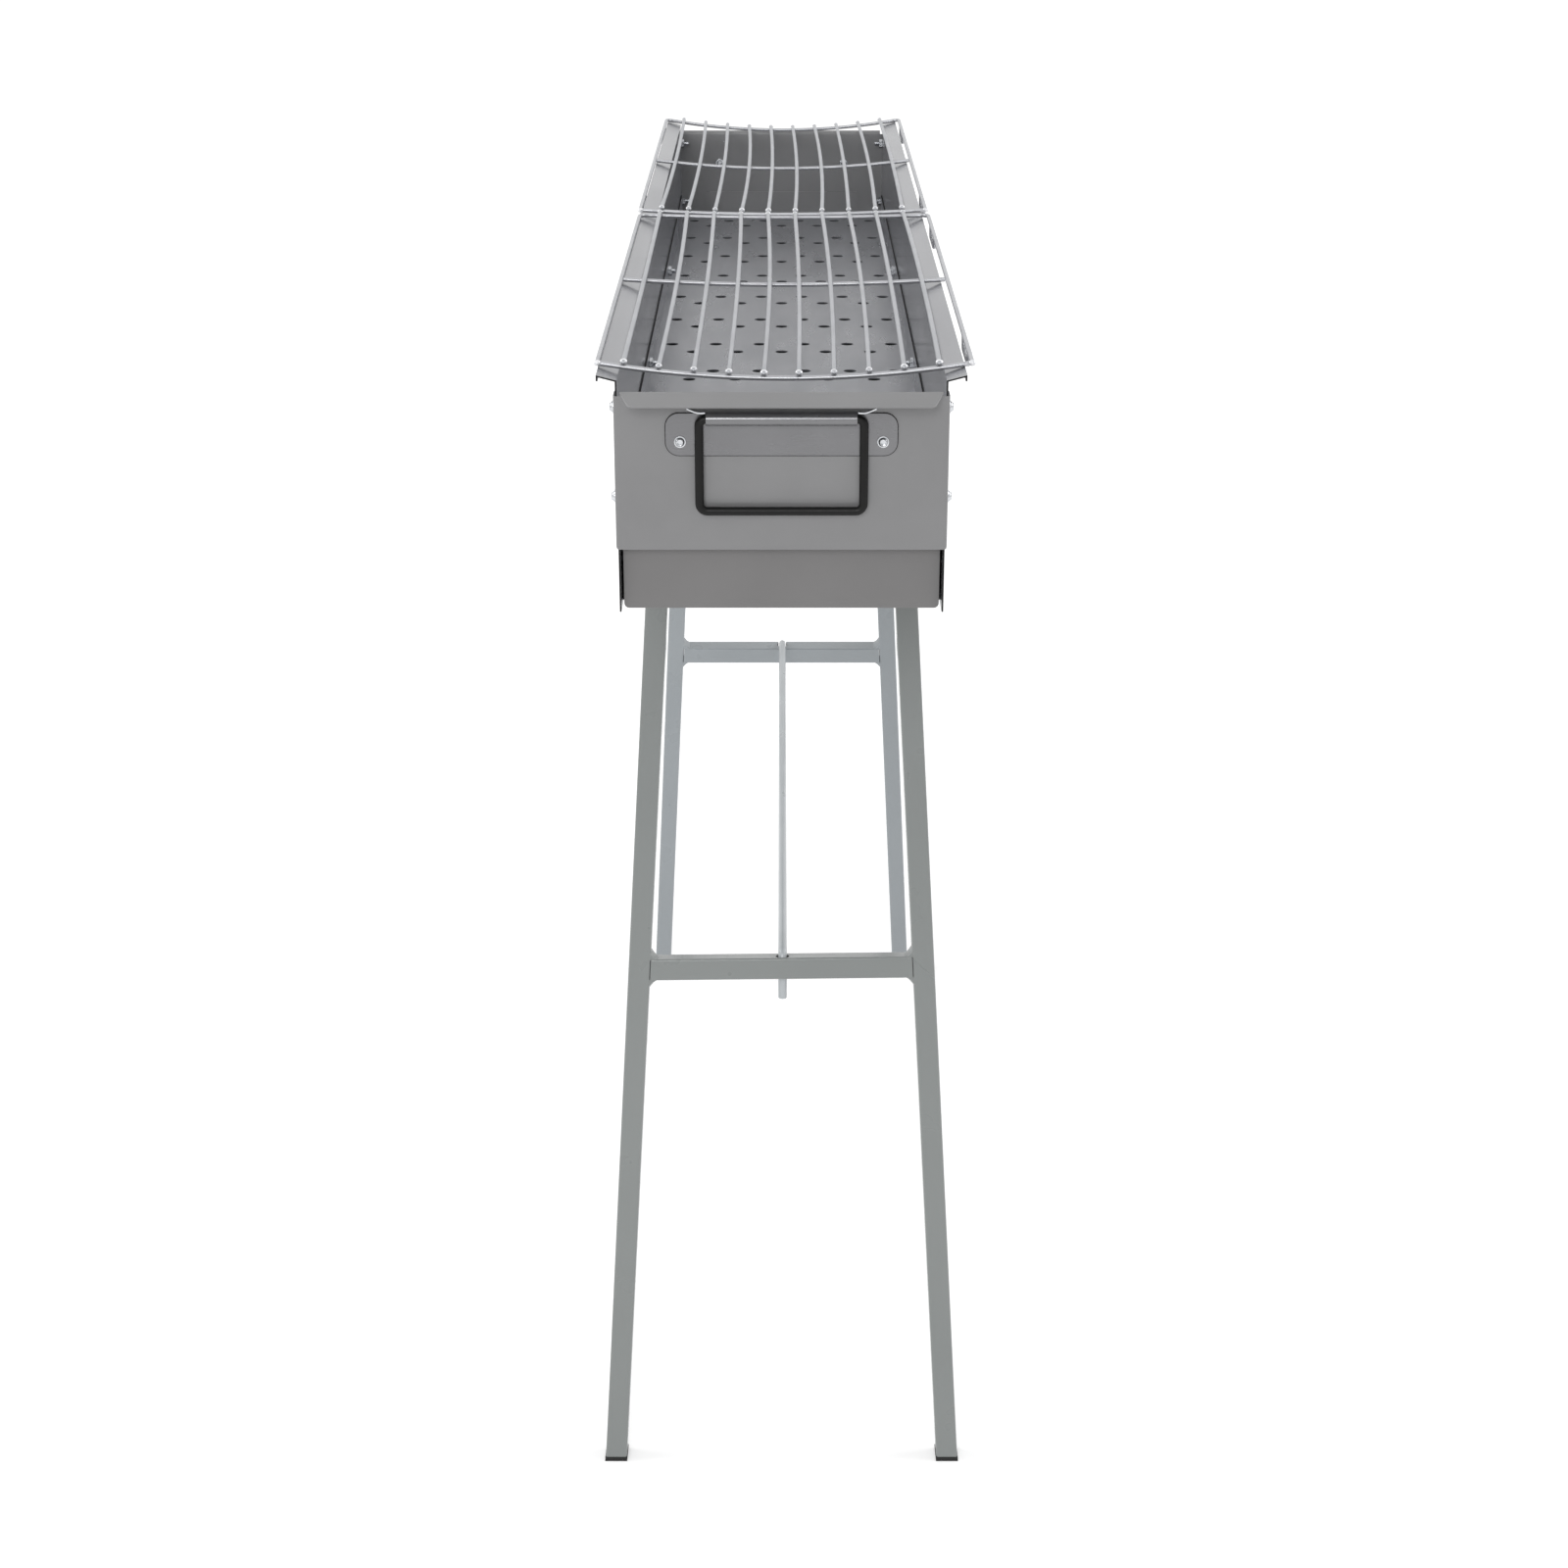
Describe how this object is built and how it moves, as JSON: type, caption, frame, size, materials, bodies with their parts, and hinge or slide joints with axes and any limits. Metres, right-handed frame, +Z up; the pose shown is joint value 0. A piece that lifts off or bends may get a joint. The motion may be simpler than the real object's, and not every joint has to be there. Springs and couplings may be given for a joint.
{
  "type": "folding campfire grill",
  "caption": "Long folding charcoal grill: a sheet steel trough on splayed tube legs tied by a rod, with wire grates, a perforated floor, a slide-out ash pan and end handles.",
  "frame": {"origin": "on the ground under the middle of the trough, at the bottom centre of the whole grill", "axes": "+X to the right seen from the front end, +Y along the trough to the rear end, +Z up"},
  "size_m": [0.2524, 1.08, 0.8162],
  "materials": {
    "side_sheet": "satin stoved paint on sheet steel",
    "end_sheet": "satin stoved paint on sheet steel",
    "pan_sheet": "satin stoved paint on sheet steel",
    "pan_inside": "dull black heat-proof paint on sheet steel",
    "floor_sheet": "dull heat-proof paint on sheet steel",
    "front_frame_paint": "satin powder coat on square tube",
    "rear_frame_paint": "satin powder coat on square tube",
    "rod_steel": "drawn bright steel rod",
    "black_coat": "satin black coat",
    "zinc": "bright zinc plate",
    "grate_chrome": "nickel-chrome plated wire",
    "foot_plastic": "moulded black end cap"
  },
  "bodies": {
    "trough": {"side_panel_left": "side_sheet", "side_panel_right": "side_sheet", "end_panel_front": "end_sheet", "end_panel_rear": "end_sheet", "perforated_floor": "floor_sheet", "floor_edges": "floor_sheet", "handle_plate_front": "end_sheet", "handle_plate_rear": "end_sheet", "handle_screws_front": "zinc", "handle_screws_rear": "zinc", "handle_nuts_front": "zinc", "handle_nuts_rear": "zinc", "corner_bolts_front": "zinc", "corner_bolts_rear": "zinc", "corner_nuts_front": "zinc", "corner_nuts_rear": "zinc", "floor_bolts": "zinc", "floor_nuts": "zinc", "hinge_brackets_front": "front_frame_paint", "hinge_brackets_rear": "rear_frame_paint", "pivot_bolts_front": "zinc", "pivot_bolts_rear": "zinc", "pivot_nuts_front": "zinc", "pivot_nuts_rear": "zinc", "leg_front_left": "front_frame_paint", "leg_front_right": "front_frame_paint", "crossbar_front": "front_frame_paint", "feet_front": "foot_plastic"},
    "rear_leg_frame": {"leg_rear_left": "rear_frame_paint", "leg_rear_right": "rear_frame_paint", "crossbar_rear": "rear_frame_paint", "feet_rear": "foot_plastic"},
    "tie_rod_body": {"tie_rod": "rod_steel"},
    "front_bail": {"bail_front": "black_coat"},
    "rear_bail": {"bail_rear": "black_coat"},
    "pan": {"ash_pan": "pan_inside", "pan_front_plate": "pan_sheet", "pan_rear_plate": "pan_sheet"},
    "front_grate": {"grate_front_frame": "grate_chrome", "grate_front_bars": "grate_chrome", "grate_front_cross_wire": "grate_chrome", "grate_front_feet": "grate_chrome"},
    "rear_grate": {"grate_rear_frame": "grate_chrome", "grate_rear_bars": "grate_chrome", "grate_rear_cross_wire": "grate_chrome", "grate_rear_feet": "grate_chrome"}
  },
  "joints": [
    {"name": "rear_leg_fold", "type": "hinge", "parent": "trough", "child": "rear_leg_frame", "pos_m": [0, 0.281, 0.655], "axis": [-1, 0, 0], "range_deg": [0, 98]},
    {"name": "tie_rod_lift", "type": "slide", "parent": "trough", "child": "tie_rod_body", "axis": [0, 0, 1], "range_m": [0, 0.29]},
    {"name": "front_bail_swing", "type": "hinge", "parent": "trough", "child": "front_bail", "pos_m": [0, -0.5289, 0.7881], "axis": [-1, 0, 0], "range_deg": [0, 105]},
    {"name": "rear_bail_swing", "type": "hinge", "parent": "trough", "child": "rear_bail", "pos_m": [0, 0.5289, 0.7881], "axis": [1, 0, 0], "range_deg": [0, 105]},
    {"name": "ash_pan_slide", "type": "slide", "parent": "trough", "child": "pan", "axis": [0, -1, 0], "range_m": [0, 0.45]},
    {"name": "front_grate_lift", "type": "slide", "parent": "trough", "child": "front_grate", "axis": [0, 0, 1], "range_m": [0, 0.08]},
    {"name": "rear_grate_lift", "type": "slide", "parent": "trough", "child": "rear_grate", "axis": [0, 0, 1], "range_m": [0, 0.08]}
  ],
  "couplings": [
    {"joint": "tie_rod_lift", "follows": "rear_leg_fold", "m_per_rad": 0.168}
  ]
}
